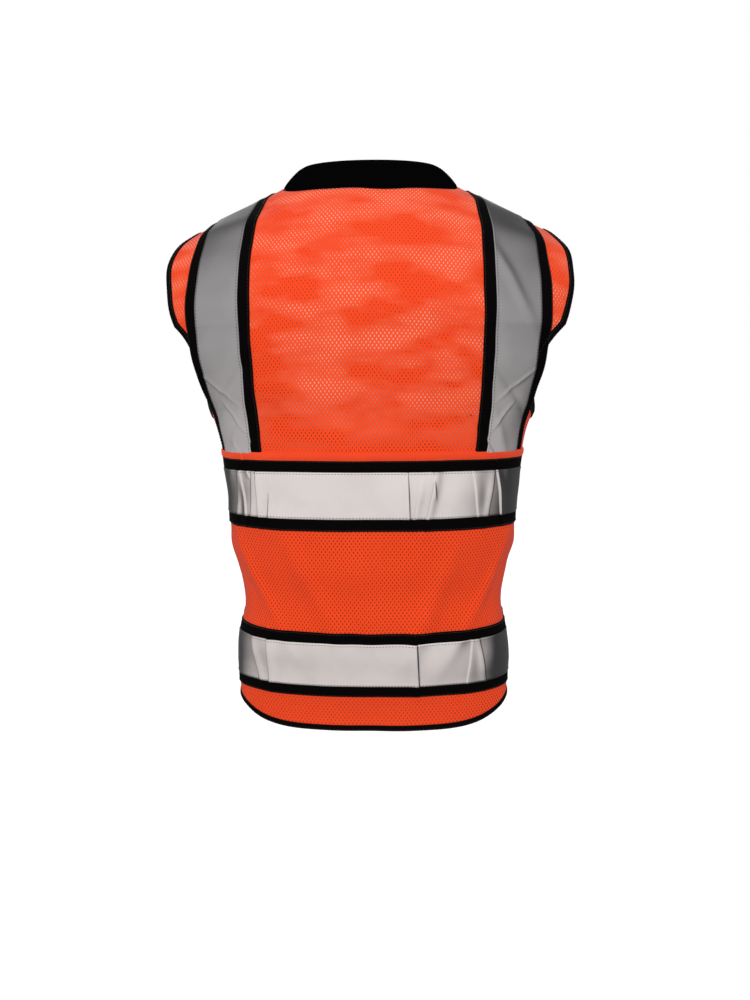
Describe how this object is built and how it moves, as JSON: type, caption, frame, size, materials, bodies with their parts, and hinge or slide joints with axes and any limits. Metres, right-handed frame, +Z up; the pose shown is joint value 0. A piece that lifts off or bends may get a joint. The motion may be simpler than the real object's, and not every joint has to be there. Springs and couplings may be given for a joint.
{
  "type": "high visibility vest",
  "caption": "Sleeveless zip-front work vest in fluorescent mesh with reflective tape on black trim, rib-knit collar, bound edges and patch pockets.",
  "frame": {"origin": "centre of the body at the height of the back hem, under the middle of the vest", "axes": "+Z up, the wearer faces -Y, the wearer's left is +X"},
  "size_m": [0.4666, 0.2546, 0.6184],
  "materials": {
    "orange_mesh": "fluorescent red-orange warp-knit polyester mesh",
    "orange_fabric": "fluorescent red-orange solid tricot",
    "reflective_tape": "silver glass-bead reflective tape",
    "black_webbing": "black contrast tape, plain weave",
    "rib_knit": "black rib knit",
    "black_binding": "black bias binding",
    "zipper_tape": "black herringbone zipper tape",
    "black_plastic": "moulded acetal",
    "label_fabric": "blank woven satin label",
    "hook_and_loop": "hook and loop fastener"
  },
  "bodies": {
    "back": {"back_armhole_binding_left": "black_binding", "back_armhole_binding_right": "black_binding", "back_collar_rib": "rib_knit", "back_hem_binding": "black_binding", "back_lower_band_tape": "reflective_tape", "back_lower_band_webbing": "black_webbing", "back_lower_mesh_panel": "orange_mesh", "back_shoulder_tape_left": "reflective_tape", "back_shoulder_tape_right": "reflective_tape", "back_shoulder_webbing_left": "black_webbing", "back_shoulder_webbing_right": "black_webbing", "back_upper_band_tape": "reflective_tape", "back_upper_band_webbing": "black_webbing", "back_upper_mesh_panel": "orange_mesh", "back_waist_fold": "orange_fabric", "hang_loop": "black_binding", "neck_label": "label_fabric", "neck_seam_tape": "black_binding"},
    "front_left": {"front_armhole_binding_left": "black_binding", "front_collar_rib_left": "rib_knit", "front_hem_binding_left": "black_binding", "front_lower_band_tape_left": "reflective_tape", "front_lower_band_webbing_left": "black_webbing", "front_mesh_panel_left": "orange_mesh", "front_shoulder_tape_left": "reflective_tape", "front_shoulder_webbing_left": "black_webbing", "front_upper_band_tape_left": "reflective_tape", "front_upper_band_webbing_left": "black_webbing", "lower_pocket_left": "orange_fabric", "mic_tab_left": "black_webbing", "top_stop_left": "black_plastic", "zipper_tape_left": "zipper_tape", "zipper_teeth_left": "black_plastic", "insertion_pin": "black_plastic", "radio_pocket": "orange_fabric", "pocket_loop_patch": "hook_and_loop"},
    "front_right": {"front_armhole_binding_right": "black_binding", "front_collar_rib_right": "rib_knit", "front_hem_binding_right": "black_binding", "front_lower_band_tape_right": "reflective_tape", "front_lower_band_webbing_right": "black_webbing", "front_mesh_panel_right": "orange_mesh", "front_shoulder_tape_right": "reflective_tape", "front_shoulder_webbing_right": "black_webbing", "front_upper_band_tape_right": "reflective_tape", "front_upper_band_webbing_right": "black_webbing", "lower_pocket_right": "orange_fabric", "mic_tab_right": "black_webbing", "top_stop_right": "black_plastic", "zipper_tape_right": "zipper_tape", "zipper_teeth_right": "black_plastic", "retainer_box": "black_plastic", "pen_pocket": "orange_fabric"},
    "radio_flap": {"radio_pocket_flap": "orange_fabric", "flap_hook_patch": "hook_and_loop"},
    "slider": {"zipper_slider": "black_plastic"},
    "pull_tab": {"zipper_pull_tab": "black_plastic"}
  },
  "joints": [
    {"name": "front_left_swing", "type": "hinge", "parent": "back", "child": "front_left", "pos_m": [0.156, 0, 0], "axis": [0.1064, 0, 0.9943], "range_deg": [0, 75], "deforming": ["zipper_teeth_left", "zipper_tape_left"]},
    {"name": "front_right_swing", "type": "hinge", "parent": "back", "child": "front_right", "pos_m": [-0.156, 0, 0], "axis": [0.1064, 0, -0.9943], "range_deg": [0, 75]},
    {"name": "slider_travel", "type": "slide", "parent": "front_right", "child": "slider", "axis": [0, 0.03, -0.9996], "range_m": [0, 0.419], "deforming": ["zipper_teeth_right"]},
    {"name": "pull_tab_tilt", "type": "hinge", "parent": "slider", "child": "pull_tab", "pos_m": [0, -0.11639, 0.45121], "axis": [-1, 0, 0], "range_deg": [0, 150]},
    {"name": "radio_flap_lift", "type": "hinge", "parent": "front_left", "child": "radio_flap", "pos_m": [0.06045, -0.11656, 0.47851], "axis": [-0.9981, -0.0619, -0.0019], "range_deg": [0, 110]}
  ]
}
